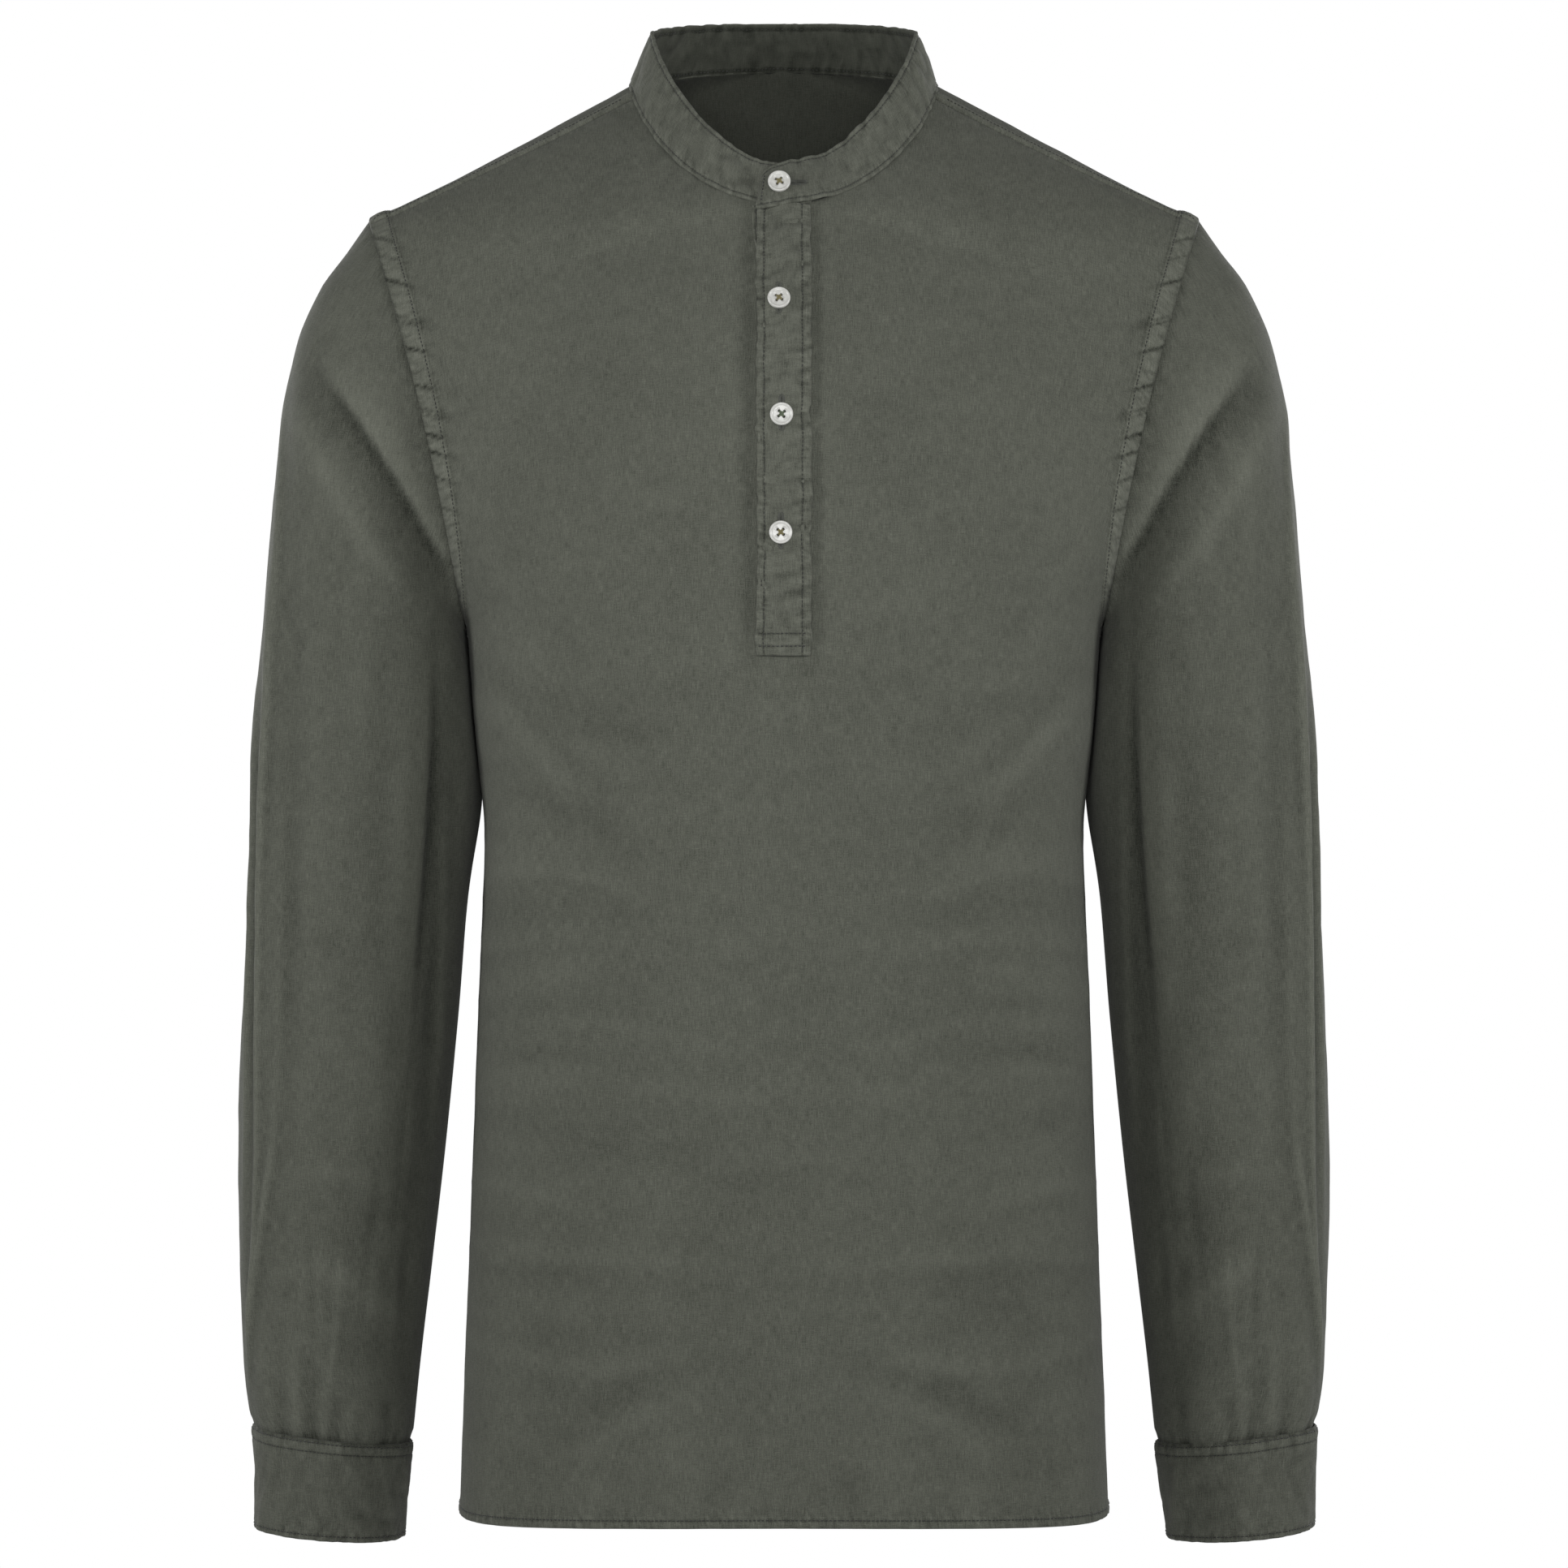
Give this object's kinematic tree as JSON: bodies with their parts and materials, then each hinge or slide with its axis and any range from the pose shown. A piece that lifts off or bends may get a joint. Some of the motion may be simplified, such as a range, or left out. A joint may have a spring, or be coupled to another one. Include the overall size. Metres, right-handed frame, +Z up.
{
  "type": "mandarin collar shirt",
  "caption": "Long-sleeved linen shirt with a mandarin collar and a buttoned half placket, hollow and filled out as if worn.",
  "frame": {"origin": "between the two neck points of the shoulders, at their height, where the wearer's shoulders carry the shirt", "axes": "+X towards the wearer's left, the front faces -Y, +Z up"},
  "size_m": [0.5658, 0.2594, 0.7894],
  "materials": {
    "linen": "matte plain-weave linen, grey green, slubby and garment-washed",
    "shell": "pearly white, softly polished"
  },
  "bodies": {
    "root": {"front": "linen", "back": "linen", "sleeve_left": "linen", "sleeve_right": "linen", "cuff_left": "linen", "cuff_right": "linen", "collar": "linen", "placket_over": "linen", "placket_under": "linen", "button_collar": "shell", "button_1": "shell", "button_2": "shell", "button_3": "shell"}
  },
  "joints": []
}
